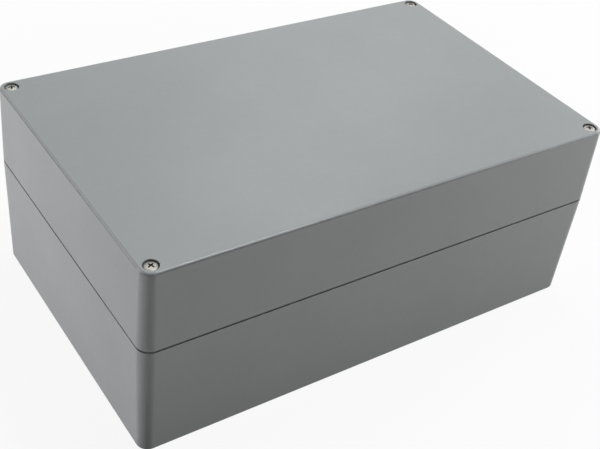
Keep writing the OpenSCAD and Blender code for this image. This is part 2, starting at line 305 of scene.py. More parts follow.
# %% [markdown]
# ## The box and its hollow
# Two outlines carry nearly everything. The outside has four corners. The hollow has twelve, because
# it bends in and out round the four screw pillars, and the seal follows it. Each could be written
# down whole. Half is enough, because the other half is the same, turned by half a turn, and so the
# two can't disagree.

# %% Box and hollow
HALF_L, HALF_W, CORNER_R = 200.0, 125.0, 10.0
ARM_X, ARM_Y, BAY_R = 193.5, 118.5, 7.0  # where the hollow's bays end, and their corners' radius
GATE_X, GATE_Y, PILLAR_R = 177.3, 87.3, 8.0  # where its pillars stand, and their corners' radius


def both_halves(rows):
    """A chain of the rows of one half, and of the same rows turned by half a turn."""
    half = np.array(rows)
    other_half = half * [-1, -1, 1, 1, 1, 1] + [0, 0, 0, 0, 180, 0]
    return corner_chain(np.concatenate([half, other_half]))


arc_x, arc_y = HALF_L - CORNER_R, HALF_W - CORNER_R
BOX = both_halves([
    [arc_x, arc_y, CORNER_R, 1, 0, 90],
    [-arc_x, arc_y, CORNER_R, 1, 90, 90],
])
HOLLOW = both_halves([
    [ARM_X - BAY_R, GATE_Y - BAY_R, BAY_R, 1, 0, 90],
    [GATE_X + PILLAR_R, GATE_Y + PILLAR_R, PILLAR_R, -1, 270, -90],
    [GATE_X - BAY_R, ARM_Y - BAY_R, BAY_R, 1, 0, 90],
    [BAY_R - GATE_X, ARM_Y - BAY_R, BAY_R, 1, 90, 90],
    [-GATE_X - PILLAR_R, GATE_Y + PILLAR_R, PILLAR_R, -1, 360, -90],
    [BAY_R - ARM_X, GATE_Y - BAY_R, BAY_R, 1, 90, 90],
])
print("corners:", len(BOX[1]), "outside,", len(HOLLOW[1]), "round the hollow")

# %% [markdown]
# ## Profile runs
# A moulding's wall is one profile, carried along an outline as a plasterer runs a cornice. A
# profile is drawn as short runs in grow and height, straight or bent, with the material on its
# left, so the surface always faces right. Since each run knows its own direction, the exact surface
# normals come for free, and flat faces stay flat in the light right up to their rounded edges.
# Modifiers could round the edges too, but they would guess where these are known.

# %% Profile runs
BEND_STEPS = 11


def straight(start, end):
    """Two profile points. The normal is the run's direction turned a quarter to the right:
    (d height, -d grow)."""
    d = np.subtract(end, start)
    normal = np.array([d[1], -d[0]]) / np.hypot(*d)
    return np.array([[*start, *normal], [*end, *normal]])


def bend(centre, radius, first, last):
    """An arc between two angles in degrees. The normal points away from the centre where the arc
    turns left, as on an outer edge, and to the centre where it turns right, as in a fillet."""
    a = np.radians(np.linspace(first, last, BEND_STEPS))
    unit = np.stack([np.cos(a), np.sin(a)], -1)
    return np.concatenate([centre + radius * unit, np.sign(last - first) * unit], 1)


print("points: 2 a straight run,", BEND_STEPS, "a bend")

# %% [markdown]
# ## Surfaces along outlines
# Now the profile meets the outline. Each run becomes a grid of points, one row for each profile
# point and one column for each outline point. Along with its place and normal, every point gets an
# amount of wear and shade, which the finish reads later: above zero it darkens the colour, partly
# as dirt and partly as painted shade, and below zero it is polish. Painting this by hand would look
# as good once, but would not follow a change of size.

# %% Carried surfaces
def carried(chain, run, wear_and_shade=0.0, darkest_at=0.5, reach=0.5, polish=0.0):
    """A run carried round a chain. Grid point (i, j) is outline point j moved out by the run's grow
    i, at its height i, and its normal is the run's, turned to face out from the outline there. The
    darkening, partly from use and partly painted shade, is most at one share of a bend, and falls
    off as a squared cosine within its reach to both sides. A straight run is darkened evenly.
    Polish counts as darkening below zero, and is most at the same share from the bend's other end."""
    grow, height, out, up = run.T
    plan, outward = outline(chain, grow)
    m, n = plan.shape[:2]

    def upright(values):
        return np.broadcast_to(values[:, None, None], (m, n, 1))

    points = np.concatenate([plan, upright(height)], -1).reshape(-1, 3)
    normals = np.concatenate([outward * out[:, None, None], upright(up)], -1).reshape(-1, 3)
    share = np.linspace(0, 1, m) if m > 2 else np.full(m, darkest_at)

    def bump(middle):
        return np.cos(np.pi / 2 * np.clip((share - middle) / reach, -1, 1)) ** 2

    # Above zero this darkens the colour, partly as wear and partly as painted shade; below zero it
    # is polish.
    shaded_wear = np.repeat(wear_and_shade * bump(darkest_at) - polish * bump(1 - darkest_at), n)
    return points, normals, shaded_wear, ring_faces(m, n)


def stepped(chain, *corners):
    """Straight runs from corner to corner of a profile, each carried round the chain."""
    return [carried(chain, straight(*pair)) for pair in zip(corners, corners[1:])]


print("a wall round the box:", len(stepped(BOX, (0, 0), (0, 1))[0][3]), "faces")

# %% [markdown]
# ## Level faces with holes
# The top, the rims and the floor are level faces with round holes, and the rims go round the hollow
# as well. Blender can cut holes with a Boolean modifier, which may leave loose points. A
# triangulation that is told to keep every outline edge fills the plane at once, and its edges fit
# the walls of the holes point by point.

# %% Level faces
HULL_TRIANGLES, MERGE = 0, 1e-6  # what the triangulation gives back, and how close points are one


def loop(chain, grow):
    """The points of a chain, moved out by one amount."""
    return outline(chain, grow)[0][0]


def circles(places, radius):
    """The points of a circle of this radius about each place."""
    return [loop(circle(*at), radius) for at in places]


def flat(height, up, *loops):
    """The level face between an outer outline and the outlines of its holes. The plane is filled
    with triangles that keep every outline edge, and a triangle stays if a ray from its middle
    crosses the outlines an odd number of times. Up is 1 for a face that looks up, and -1 for one
    that looks down."""
    start = np.concatenate(loops)
    end = np.concatenate([np.roll(points, -1, 0) for points in loops])
    sizes = [len(points) for points in loops]
    firsts = np.cumsum([0] + sizes)
    ahead = [np.roll(np.arange(n), -1) + first for n, first in zip(sizes, firsts)]
    edges = np.stack([np.arange(len(start)), np.concatenate(ahead)], -1)
    corners = list(map(Vector, start.tolist()))
    filled = delaunay_2d_cdt(corners, edges.tolist(), [], HULL_TRIANGLES, MERGE)
    plan, faces = start[[same[0] for same in filled[3]]], np.array(filled[2])
    x, y = plan[faces].mean(1).T[..., None]
    spans = (start[:, 1] > y) != (end[:, 1] > y)
    rise = np.where(end[:, 1] == start[:, 1], 1, end[:, 1] - start[:, 1])
    ahead_of = x < start[:, 0] + (y - start[:, 1]) * (end[:, 0] - start[:, 0]) / rise
    faces = faces[(spans & ahead_of).sum(1) % 2 == 1][:, ::up]
    points = np.column_stack([plan, np.full(len(plan), height)])
    return points, np.tile([0.0, 0.0, up], (len(plan), 1)), np.zeros(len(plan)), faces


print("the box's outline, filled:", len(flat(0, 1, loop(BOX, 0))[3]), "triangles")

# %% [markdown]
# ## One closed mesh from many surfaces
# The surfaces meet exactly, since they share their outlines. Welding points that fall on the same
# spot of a very fine grid makes one closed skin, which a printer or a physics engine needs as well
# as a renderer. The normals stay with the corners of the faces, so the weld doesn't blur any edge.
# The count of open edges shows at once whether a surface is missing.

# %% Welding
WELD = 0.002


def welded(surfaces):
    """Points on the same spot of a grid of WELD become one, and a face loses corners that fall
    together. Gives the points that stay, the point of each old one, the old ones at the corners of
    the faces, and the faces' sizes."""
    points = np.concatenate([surface[0] for surface in surfaces])
    spots = np.round(points / WELD).astype(np.int64)
    first, place = np.unique(spots, axis=0, return_index=True, return_inverse=True)[1:]
    place = place.ravel()
    starts = np.cumsum([0] + [len(surface[0]) for surface in surfaces[:-1]])
    corners, sizes = [], []
    for faces in (surface[3] + start for surface, start in zip(surfaces, starts)):
        kept = place[faces] != place[np.roll(faces, -1, 1)]
        kept &= kept.sum(1, keepdims=True) > 2
        corners.append(faces[kept])
        sizes.append(kept.sum(1)[kept.any(1)])
    return points[first], place, np.concatenate(corners), np.concatenate(sizes)


trial = welded(stepped(BOX, (0, 0), (0, 1), (-1, 1)))
print("two walls that share an edge:", len(trial[0]), "points,", len(trial[3]), "faces")

# %% [markdown]
# ## Pieces
# A piece of the real box becomes one mesh object, with its place in its points, in metres. Blender
# can be given a mesh face by face, but whole arrays at once are much faster. Each piece then rides
# on a body of the CAD model, so that it moves with it, and stands for one of its solids.

# %% Pieces
MM, SHARP_DEGREES = 0.001, 30


def open_edges(mesh):
    """How many edges don't belong to exactly two faces."""
    uses, of_corner = np.zeros(len(mesh.edges), int), np.zeros(len(mesh.loops), np.int32)
    mesh.loops.foreach_get("edge_index", of_corner)
    np.add.at(uses, of_corner, 1)
    return int((uses != 2).sum())


def shell(name, surfaces, own_normals=True):
    """One object from surfaces of (points, normals, darkening, faces), welded, in metres. Each
    corner keeps its surface's normal and darkening, which is partly from use and partly painted
    shade.
    Without own normals, edges bent by more than SHARP_DEGREES are sharp."""
    points, place, corners, sizes = welded(surfaces)
    normals, wear_and_shade = (np.concatenate([surface[k] for surface in surfaces]) for k in (1, 2))
    mesh = bpy.data.meshes.new(name)
    mesh.vertices.add(len(points))
    mesh.vertices.foreach_set("co", (points * MM).ravel())
    mesh.loops.add(len(corners))
    mesh.loops.foreach_set("vertex_index", place[corners].astype(np.int32))
    mesh.polygons.add(len(sizes))
    mesh.polygons.foreach_set("loop_start", np.cumsum(sizes) - sizes)
    mesh.polygons.foreach_set("use_smooth", np.ones(len(sizes), bool))
    mesh.update(calc_edges=True)
    # Each corner's wear and painted shade, for the finishes to read.
    shaded_wear = mesh.attributes.new("wear_and_shade", "FLOAT", "CORNER")
    shaded_wear.data.foreach_set("value", wear_and_shade[corners].astype(np.float32))
    if own_normals:
        mesh.normals_split_custom_set(normals[corners].tolist())
    else:
        mesh.set_sharp_from_angle(angle=np.radians(SHARP_DEGREES))
    print(name, len(sizes), "faces,", open_edges(mesh), "open edges")
    piece = bpy.data.objects.new(name, mesh)
    bpy.context.scene.collection.objects.link(piece)
    return piece


def dress(piece, body, solid):
    """Lets a piece ride on its body and stand for its solid, whose CAD part is hidden."""
    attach(piece, body)
    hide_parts(solid)


print("edges are sharp from", SHARP_DEGREES, "degrees")

# %% [markdown]
# ## The lid
# The lid is a drafted tray, upside down. Outside, its wall leans in a little so that it leaves the
# mould, and ends in a small rounded edge. Its top is flat and has a counterbore for a screw in each
# corner. Below, a groove for the gasket runs between the rim and the hollow. A cube could be
# bevelled and cut to this shape, but a handful of profile runs and three level faces are the shape
# itself. The darkening of each edge is given with it: most at the seam, where it is painted shade
# for the dark gap, less on other edges, partly wear and partly painted shade, and on the top edge
# low down, a painted shade under the polish above.

# %% Lid
LID_Z, TOP_Z, CEILING_Z = 95.3, 160.0, 155.0
LEAN, RIM_EDGE, TOP_EDGE, FILLET, SOFT_EDGE = 1.2, 0.4, 2.2, 2.5, 0.25
GROOVE_OUT, GROOVE_IN, GROOVE_Z = 4.7, 1.5, 100.3
COUNTERBORE_R, SEAT_Z, BORE_R, POCKET_R, POCKET_Z = 5.5, 155.9, 3.0, 5.0, 106.3
# The seam's chamfers are painted dark as shade for its gap, and the top edge low down as shade
# under its highlight; other edges darken partly as wear, partly as painted shade.
SEAM_SHADE, EDGE_WEAR_AND_SHADE, HOLE_EDGE_DARK = 1.0, 0.5, 0.4
TOP_SHADE_AND_POLISH = {"wear_and_shade": EDGE_WEAR_AND_SHADE, "darkest_at": 0.28, "reach": 0.34, "polish": 1.0}
SCREWS = {"front_left": (-190, -115), "front_right": (190, -115),
          "back_left": (-190, 115), "back_right": (190, 115)}

wall_top, ceiling_edge = TOP_Z - TOP_EDGE, CEILING_Z - FILLET
mouth_r, mouth_z = COUNTERBORE_R + SOFT_EDGE, TOP_Z - SOFT_EDGE
lid_surfaces = [
    carried(BOX, straight((-RIM_EDGE, LID_Z), (0, LID_Z + RIM_EDGE)), SEAM_SHADE),
    carried(BOX, straight((0, LID_Z + RIM_EDGE), (-LEAN, wall_top))),
    carried(BOX, bend((-LEAN - TOP_EDGE, wall_top), TOP_EDGE, 0, 90), **TOP_SHADE_AND_POLISH),
    carried(HOLLOW, bend((-LEAN - FILLET, ceiling_edge), FILLET, 90, 0)),
    carried(HOLLOW, straight((-LEAN, ceiling_edge), (0, LID_Z + SOFT_EDGE))),
    carried(HOLLOW, bend((SOFT_EDGE, LID_Z + SOFT_EDGE), SOFT_EDGE, 180, 270), HOLE_EDGE_DARK),
    *stepped(HOLLOW, (SOFT_EDGE, LID_Z), (GROOVE_IN, LID_Z), (GROOVE_IN, GROOVE_Z),
             (GROOVE_OUT, GROOVE_Z), (GROOVE_OUT, LID_Z)),
    flat(CEILING_Z, -1, loop(HOLLOW, -LEAN - FILLET)),
    flat(TOP_Z, 1, loop(BOX, -LEAN - TOP_EDGE), *circles(SCREWS.values(), mouth_r)),
    flat(LID_Z, -1, loop(BOX, -RIM_EDGE), loop(HOLLOW, GROOVE_OUT),
         *circles(SCREWS.values(), POCKET_R)),
]
for at in SCREWS.values():
    lid_surfaces += [
        carried(circle(*at), bend((mouth_r, mouth_z), SOFT_EDGE, 90, 180), HOLE_EDGE_DARK),
        *stepped(circle(*at), (COUNTERBORE_R, mouth_z), (COUNTERBORE_R, SEAT_Z), (BORE_R, SEAT_Z),
                 (BORE_R, POCKET_Z), (POCKET_R, POCKET_Z), (POCKET_R, LID_Z)),
    ]
lid = shell("lid_shell", lid_surfaces)
dress(lid, "lid", "lid")

# %% [markdown]
# ## The base
# The base is the lid's deeper twin, right way up. Its rim carries a tongue that presses into the
# gasket. Outside the tongue each corner pillar has a brass bush for the lid screw, and a channel
# with a hole at its foot, through which the box is screwed to a wall. Six bosses on the floor hold
# bushes for a mounting plate. The same runs and level faces make it. The walls come first.

# %% Walls and level faces of the base
RIM_Z, FLOOR_Z, FOOT_EDGE = 94.5, 5.0, 1.0
TONGUE_OUT, TONGUE_IN, TONGUE_Z, TONGUE_EDGE = 4.0, 2.2, 97.5, 0.4
FIX_R, CHANNEL_R, LID_BUSH_R, BOSS_FOOT_R, BOSS_FILLET = 3.25, 6.0, 4.05, 7.6, 0.9
FIXINGS = [(x, y) for x in (-190, 190) for y in (-100, 100)]
BOSSES = {f"{row}_{place}": (x, y) for row, y in (("front", -95), ("back", 95))
          for place, x in (("left", -150), ("middle", 0), ("right", 150))}

floor_edge, tongue_side = FLOOR_Z + FILLET, TONGUE_Z - TONGUE_EDGE
tongue_inner, tongue_outer = TONGUE_IN + TONGUE_EDGE, TONGUE_OUT - TONGUE_EDGE
# As on the lid, the seam's chamfer is painted dark as painted shade for the gap.
base_surfaces = [
    carried(BOX, bend((-LEAN - FOOT_EDGE, FOOT_EDGE), FOOT_EDGE, -90, 0), EDGE_WEAR_AND_SHADE),
    carried(BOX, straight((-LEAN, FOOT_EDGE), (0, RIM_Z - RIM_EDGE))),
    carried(BOX, straight((0, RIM_Z - RIM_EDGE), (-RIM_EDGE, RIM_Z)), SEAM_SHADE),
    carried(HOLLOW, straight((TONGUE_OUT, RIM_Z), (TONGUE_OUT, tongue_side))),
    carried(HOLLOW, bend((tongue_outer, tongue_side), TONGUE_EDGE, 0, 90), EDGE_WEAR_AND_SHADE),
    carried(HOLLOW, straight((tongue_outer, TONGUE_Z), (tongue_inner, TONGUE_Z))),
    carried(HOLLOW, bend((tongue_inner, tongue_side), TONGUE_EDGE, 90, 180), EDGE_WEAR_AND_SHADE),
    *stepped(HOLLOW, (TONGUE_IN, tongue_side), (TONGUE_IN, RIM_Z), (SOFT_EDGE, RIM_Z)),
    carried(HOLLOW, bend((SOFT_EDGE, RIM_Z - SOFT_EDGE), SOFT_EDGE, 90, 180), HOLE_EDGE_DARK),
    carried(HOLLOW, straight((0, RIM_Z - SOFT_EDGE), (-LEAN, floor_edge))),
    carried(HOLLOW, bend((-LEAN - FILLET, floor_edge), FILLET, 0, -90)),
    flat(FLOOR_Z, 1, loop(HOLLOW, -LEAN - FILLET),
         *circles(BOSSES.values(), BOSS_FOOT_R + BOSS_FILLET)),
    flat(0, -1, loop(BOX, -LEAN - FOOT_EDGE), *circles(FIXINGS, FIX_R + SOFT_EDGE)),
    flat(RIM_Z, 1, loop(BOX, -RIM_EDGE), loop(HOLLOW, TONGUE_OUT),
         *circles(SCREWS.values(), LID_BUSH_R), *circles(FIXINGS, CHANNEL_R + SOFT_EDGE)),
]
print("base so far:", len(base_surfaces), "surfaces")

# %% [markdown]
# ## Channels, pillars and bosses of the base
# The rest of the base repeats: four channels, four blind holes in the pillars for their bushes, and
# six bosses. Each is a short stepped profile carried round a circle, and each boss has a small
# fillet at its foot, which no moulding is without. One loop for each kind keeps the places in one
# list, where a copy moved by hand could slip.

# %% Channels, pillars and bosses
FIX_SEAT_Z, LID_BUSH_Z = 8.0, 82.5
BOSS_R, BOSS_Z, BOSS_EDGE = 7.0, 13.0, 0.4
FLOOR_BUSH_R, FLOOR_BUSH_Z = 4.0, 3.0

channel_top, boss_side = RIM_Z - SOFT_EDGE, BOSS_Z - BOSS_EDGE
fillet_r, fillet_z = BOSS_FOOT_R + BOSS_FILLET, FLOOR_Z + BOSS_FILLET
for at in FIXINGS:
    hole = circle(*at)
    base_surfaces += [
        carried(hole, bend((CHANNEL_R + SOFT_EDGE, channel_top), SOFT_EDGE, 90, 180), HOLE_EDGE_DARK),
        *stepped(hole, (CHANNEL_R, channel_top), (CHANNEL_R, FIX_SEAT_Z), (FIX_R, FIX_SEAT_Z),
                 (FIX_R, SOFT_EDGE)),
        carried(hole, bend((FIX_R + SOFT_EDGE, SOFT_EDGE), SOFT_EDGE, 180, 270), HOLE_EDGE_DARK),
    ]
for at in SCREWS.values():
    base_surfaces += [
        *stepped(circle(*at), (LID_BUSH_R, RIM_Z), (LID_BUSH_R, LID_BUSH_Z)),
        flat(LID_BUSH_Z, 1, loop(circle(*at), LID_BUSH_R)),
    ]
for at in BOSSES.values():
    post = circle(*at)
    base_surfaces += [
        carried(post, bend((fillet_r, fillet_z), BOSS_FILLET, 270, 180)),
        carried(post, straight((BOSS_FOOT_R, fillet_z), (BOSS_R, boss_side))),
        carried(post, bend((BOSS_R - BOSS_EDGE, boss_side), BOSS_EDGE, 0, 90), HOLE_EDGE_DARK),
        *stepped(post, (BOSS_R - BOSS_EDGE, BOSS_Z), (FLOOR_BUSH_R, BOSS_Z),
                 (FLOOR_BUSH_R, FLOOR_BUSH_Z)),
        flat(FLOOR_BUSH_Z, 1, loop(post, FLOOR_BUSH_R)),
    ]
base = shell("base_shell", base_surfaces)
dress(base, "base", "base")

# %% [markdown]
# ## The gasket
# The seal is a soft strip in the lid's groove, one unbroken loop that follows the hollow round all
# four pillars. Its free side has rounded shoulders, because the strip is poured and cures with a
# skin. A curve with a bevel object could draw it, but the groove's own outline is at hand, so the
# strip is a closed profile carried along it.

# %% Gasket
GASKET_Z, SHOULDER = 97.5, 0.7

shoulder_in, shoulder_out = GROOVE_IN + SHOULDER, GROOVE_OUT - SHOULDER
shoulder_z = GASKET_Z + SHOULDER
gasket = shell("gasket_strip", [
    carried(HOLLOW, straight((shoulder_in, GASKET_Z), (shoulder_out, GASKET_Z))),
    carried(HOLLOW, bend((shoulder_out, shoulder_z), SHOULDER, -90, 0)),
    *stepped(HOLLOW, (GROOVE_OUT, shoulder_z), (GROOVE_OUT, GROOVE_Z), (GROOVE_IN, GROOVE_Z),
             (GROOVE_IN, shoulder_z)),
    carried(HOLLOW, bend((shoulder_in, shoulder_z), SHOULDER, 180, 270)),
])
dress(gasket, "lid", "lid_gasket")

# %% [markdown]
# ## The cross recess
# A lid screw has a domed head with a cross recess. Everything on the screw is one surface round its
# axis, where the radius depends on the turn as well as on the row. In the recess the radius follows
# a cross. A Boolean cut would do it too, with untidy faces. Evenly spaced turns would miss the
# corners of the cross, so the turns of the grid are placed exactly on them.

# %% Cross recess
CROWN_Z, HEAD_RIM_Z, HEAD_R = 159.8, 158.9, 4.5
ARM_HALF, ARM_WIDE = 2.5, 0.62
TIP_STOPS, SIDE_STOPS, TINY = 5, 7, 1e-9

dome_rise = CROWN_Z - HEAD_RIM_Z
dome_r = (HEAD_R ** 2 + dome_rise ** 2) / (2 * dome_rise)
tip_turn = np.arctan2(ARM_WIDE, ARM_HALF)
stops = np.concatenate([
    np.linspace(-tip_turn, tip_turn, TIP_STOPS)[:-1],
    np.linspace(tip_turn, np.pi / 4, SIDE_STOPS)[:-1],
    np.linspace(np.pi / 4, np.pi / 2 - tip_turn, SIDE_STOPS)[:-1],
])
CROSS_TURNS = np.concatenate([stops + k * np.pi / 2 for k in range(4)])


def dome(radius):
    """Height of the head at a radius, on a sphere that touches the crown."""
    return CROWN_Z - dome_r + np.sqrt(dome_r ** 2 - radius ** 2)


def cross(half, wide):
    """Distance from the axis to the side of a cross of two bars: for each bar the nearer of its end
    and its side, and of the two bars the one that reaches further."""
    c = np.maximum(np.abs(np.cos(CROSS_TURNS)), TINY)
    s = np.maximum(np.abs(np.sin(CROSS_TURNS)), TINY)
    return np.maximum(np.minimum(half / c, wide / s), np.minimum(half / s, wide / c))


print("turns:", len(CROSS_TURNS), "head's sphere:", round(dome_r, 2), "mm")

# %% [markdown]
# ## Threads and turned surfaces
# A thread is a wave in the radius that climbs one pitch in each turn. A screw modifier could make
# the helix, but it would not end in a clean shoulder. The wave goes into the same grid as the rest
# of the screw, and later, cut outward, into the brass bushes.

# %% Threads and turned surfaces
CREST, ROOT = 0.2, 0.9  # shares of half a pitch where the flat crest ends and the flat root starts


def thread_wave(height, turn, pitch):
    """0 in the root and 1 on the crest of a thread: a triangle wave of height / pitch - turn / full
    turn, cut off flat at both ends, so that it climbs one pitch a turn."""
    phase = (height / pitch - turn / (2 * np.pi)) % 1
    return np.clip((ROOT - np.abs(2 * phase - 1)) / (ROOT - CREST), 0, 1)


def turned(at, radius, height, turn=CROSS_TURNS, shaded_rows=0):
    """Points axis + radius * (cos turn, sin turn) at the height, for rows of radii and heights that
    may change with the turn. It gives no normals of its own. The last rows may be painted dark, as
    painted shade for the inside of a recess."""
    radius, height = np.broadcast_arrays(radius, height)
    x, y = at[0] + radius * np.cos(turn), at[1] + radius * np.sin(turn)
    points = np.stack([x, y, height], -1).reshape(-1, 3)
    m, n = radius.shape
    shaded = np.repeat(np.arange(m) >= m - shaded_rows, n).astype(float)
    return points, np.zeros_like(points), shaded, ring_faces(m, n)


def round_rows(*rows):
    """Radii and heights of rows of one radius and one height, the same at every turn."""
    return [np.repeat(np.array(rows, float)[:, k:k + 1], len(CROSS_TURNS), 1) for k in (0, 1)]


print("of half a pitch, crest:", CREST, "root:", round(1 - ROOT, 2))

# %% [markdown]
# ## One lid screw
# Each screw is turned from stainless steel: a domed head, a long thin neck, and a thread at the
# end. The rows of its surface run from the tip over the thread and the neck, under and round the
# head, over the crown and down into the recess, whose floor closes in a point on the axis. The
# radii and heights are worked out once, about an axis at zero, and serve all four screws.

# %% Screw rows
NECK_R, NECK_FILLET, FILLET_MIDDLE = 1.95, 0.3, 0.1
THREAD_R, PITCH, ROWS_PER_PITCH, THREAD_TOP_Z, TIP_Z = 2.5, 0.8, 12, 95.3, 85.1
HEAD_FOOT_EDGE, HEAD_RIM_EDGE, HEAD_RIM_MIDDLE, CROWN_ROWS = 0.2, 0.15, (0.04, 0.02), 8
LIP, LIP_DROP, SIDE_IN, SIDE_DROP = 0.06, 0.05, 0.02, 0.12
RECESS_Z, FOOT_HALF, FOOT_WIDE = 157.6, 0.55 * ARM_HALF, 0.8 * ARM_WIDE

thread_rows = round((THREAD_TOP_Z - TIP_Z) / PITCH * ROWS_PER_PITCH) + 1
thread_z = np.linspace(TIP_Z, THREAD_TOP_Z, thread_rows)[:, None]
tip = np.minimum(NECK_R + (thread_z - TIP_Z), THREAD_R)
wave = NECK_R + (THREAD_R - NECK_R) * thread_wave(thread_z, CROSS_TURNS, PITCH)
thread = np.minimum(tip, wave)
under_r, under_z = round_rows(
    (NECK_R, THREAD_TOP_Z), (NECK_R, SEAT_Z - NECK_FILLET),
    (NECK_R + FILLET_MIDDLE, SEAT_Z - FILLET_MIDDLE), (NECK_R + NECK_FILLET, SEAT_Z),
    (HEAD_R - HEAD_FOOT_EDGE, SEAT_Z), (HEAD_R, SEAT_Z + HEAD_FOOT_EDGE),
    (HEAD_R, HEAD_RIM_Z - HEAD_RIM_EDGE),
    (HEAD_R - HEAD_RIM_MIDDLE[0], HEAD_RIM_Z - HEAD_RIM_MIDDLE[1]))
mouth = cross(ARM_HALF, ARM_WIDE)[None]
crown_r = HEAD_R - HEAD_RIM_EDGE
crown = crown_r + (mouth + LIP - crown_r) * np.linspace(0, 1, CROWN_ROWS)[:, None]
foot, axis = cross(FOOT_HALF, FOOT_WIDE)[None], np.zeros_like(mouth)
screw_radius = np.concatenate([thread, under_r, crown, mouth, mouth - SIDE_IN, foot, axis])
screw_height = np.concatenate([
    np.broadcast_to(thread_z, thread.shape), under_z, dome(crown), dome(mouth) - LIP_DROP,
    dome(mouth) - SIDE_DROP, np.full_like(foot, RECESS_Z), np.full_like(axis, RECESS_Z)])
print("screw:", len(screw_radius), "rows,", len(thread), "of them on the thread")

# %% [markdown]
# ## Four lid screws
# The screws differ only in place and turn: the recesses don't stop at the same angle, because
# nobody lines up screws. Copies of one object could be moved and turned, but a finished piece has
# its place in its mesh, so the place and turn go into the points. The flat tip closes each surface.

# %% Screws
# The recess's last rows carry a painted shade.
RECESS_TURN, RECESS_SHADE_ROWS = np.radians(25), 3


def turn_circle(at, radius, turn=CROSS_TURNS):
    """The points at a radius round an axis, one for each turn."""
    return at + radius * np.stack([np.cos(turn), np.sin(turn)], -1)


screws = []
for count, (corner, at) in enumerate(SCREWS.items(), 1):
    turn = CROSS_TURNS + count * RECESS_TURN
    screws.append(shell(f"screw_{corner}", [
        turned(at, screw_radius, screw_height, turn, RECESS_SHADE_ROWS),
        flat(TIP_Z, -1, turn_circle(at, thread[0][:, None], turn)),
    ], own_normals=False))
    dress(screws[-1], f"lid_screw_{corner}", f"lid_screw_{corner}")

# %% [markdown]
# ## The retaining washers
# A washer on each neck keeps a loosened screw in the lid: the shoulder of the thread lifts it. It
# is stamped from sheet, so its edges are only slightly rounded. A cylinder with a bevel modifier
# would need a hole cut first. A ring is a closed profile carried round a circle.

# %% Washers
WASHER_IN, WASHER_OUT, WASHER_LOW, WASHER_HIGH, WASHER_EDGE = 2.0, 4.5, 95.3, 96.3, 0.15

low, high = WASHER_LOW + WASHER_EDGE, WASHER_HIGH - WASHER_EDGE
inner, outer = WASHER_IN + WASHER_EDGE, WASHER_OUT - WASHER_EDGE
washer_runs = [
    straight((inner, WASHER_LOW), (outer, WASHER_LOW)),
    bend((outer, low), WASHER_EDGE, -90, 0),
    straight((WASHER_OUT, low), (WASHER_OUT, high)),
    bend((outer, high), WASHER_EDGE, 0, 90),
    straight((outer, WASHER_HIGH), (inner, WASHER_HIGH)),
    bend((inner, high), WASHER_EDGE, 90, 180),
    straight((WASHER_IN, high), (WASHER_IN, low)),
    bend((inner, low), WASHER_EDGE, 180, 270),
]
washers = []
for corner, at in SCREWS.items():
    washers.append(shell(f"washer_{corner}", [carried(circle(*at), run) for run in washer_runs]))
    dress(washers[-1], f"screw_washer_{corner}", f"screw_washer_{corner}")

# %% [markdown]
# ## The brass bushes
# Polyester doesn't hold a thread for long, so brass bushes are moulded in: four open ones in the
# pillars for the lid screws, and six with a closed end in the floor bosses. Only their tops and
# bores ever show. The bores get a real helical thread from the same wave as the screws, cut outward
# into the brass, where a bump in the finish would leave the mouth of the bore smooth.

# %% Bushes
BUSH_EDGE, MOUTH, THREAD_CUT, LOCK_W, LOCK_DEPTH = 0.12, 0.4, 0.35, 2.0, 0.5
LID_BORE_R, FLOOR_BORE_R, FLOOR_PITCH, FLOOR_END = 2.55, 2.5, 1.0, 2.0


def bush(name, at, outer, low, high, bore, bore_low, pitch):
    """Rows up the outside with its locking groove, over the top and the mouth's chamfer, and down
    the threaded bore, where the thread fades out over the last pitch."""
    lock_low, lock_high = (low + high - LOCK_W) / 2, (low + high + LOCK_W) / 2
    outside_r, outside_z = round_rows(
        (outer, low), (outer, lock_low), (outer - LOCK_DEPTH, lock_low),
        (outer - LOCK_DEPTH, lock_high), (outer, lock_high), (outer, high - BUSH_EDGE),
        (outer - BUSH_EDGE, high), (bore + MOUTH, high))
    down = np.arange(high - MOUTH, bore_low, -pitch / ROWS_PER_PITCH)[:, None]
    fade = np.clip((down - bore_low) / pitch, 0, 1)
    cut = bore + THREAD_CUT * fade * thread_wave(down, CROSS_TURNS, pitch)
    end_r, end_z = round_rows((bore, bore_low))
    radius = np.concatenate([outside_r, cut, end_r])
    height = np.concatenate([outside_z, np.broadcast_to(down, cut.shape), end_z])
    rim, hole = turn_circle(at, outer), turn_circle(at, bore)
    if bore_low > low:
        ends = [flat(bore_low, 1, hole), flat(low, -1, rim)]
    else:
        ends = [flat(low, -1, rim, hole)]
    return shell(name, [turned(at, radius, height), *ends], own_normals=False)


pillar_bushes, floor_bushes = [], {}
for corner, at in SCREWS.items():
    made = bush(f"lid_bush_{corner}", at, LID_BUSH_R, LID_BUSH_Z, RIM_Z,
                LID_BORE_R, LID_BUSH_Z, PITCH)
    dress(made, "base", f"lid_insert_{corner}")
    pillar_bushes.append(made)
for place, at in BOSSES.items():
    made = bush(f"floor_bush_{place}", at, FLOOR_BUSH_R, FLOOR_BUSH_Z, BOSS_Z,
                FLOOR_BORE_R, FLOOR_BUSH_Z + FLOOR_END, FLOOR_PITCH)
    dress(made, "base", f"floor_insert_{place}")
    floor_bushes[place] = made

# %% [markdown]
# ## What the finishes read
# Three things feed nearly every finish: where a point lies on its piece, noise in that space, and
# the wear and painted shade that the piece's points carry. Object coordinates are in metres, so a
# pattern has a real size and stays in place when the piece moves. A picture wrapped round the piece
# would need seams.

# %% Finish helpers
def new_finish(name):
    """A material with its node tree and its Principled shader."""
    finish = bpy.data.materials.new(name)
    finish.use_nodes = True
    return finish, finish.node_tree, finish.node_tree.nodes["Principled BSDF"]


def object_place(tree):
    """Where a point lies on the piece, in metres."""
    return node(tree, "ShaderNodeTexCoord").outputs["Object"]


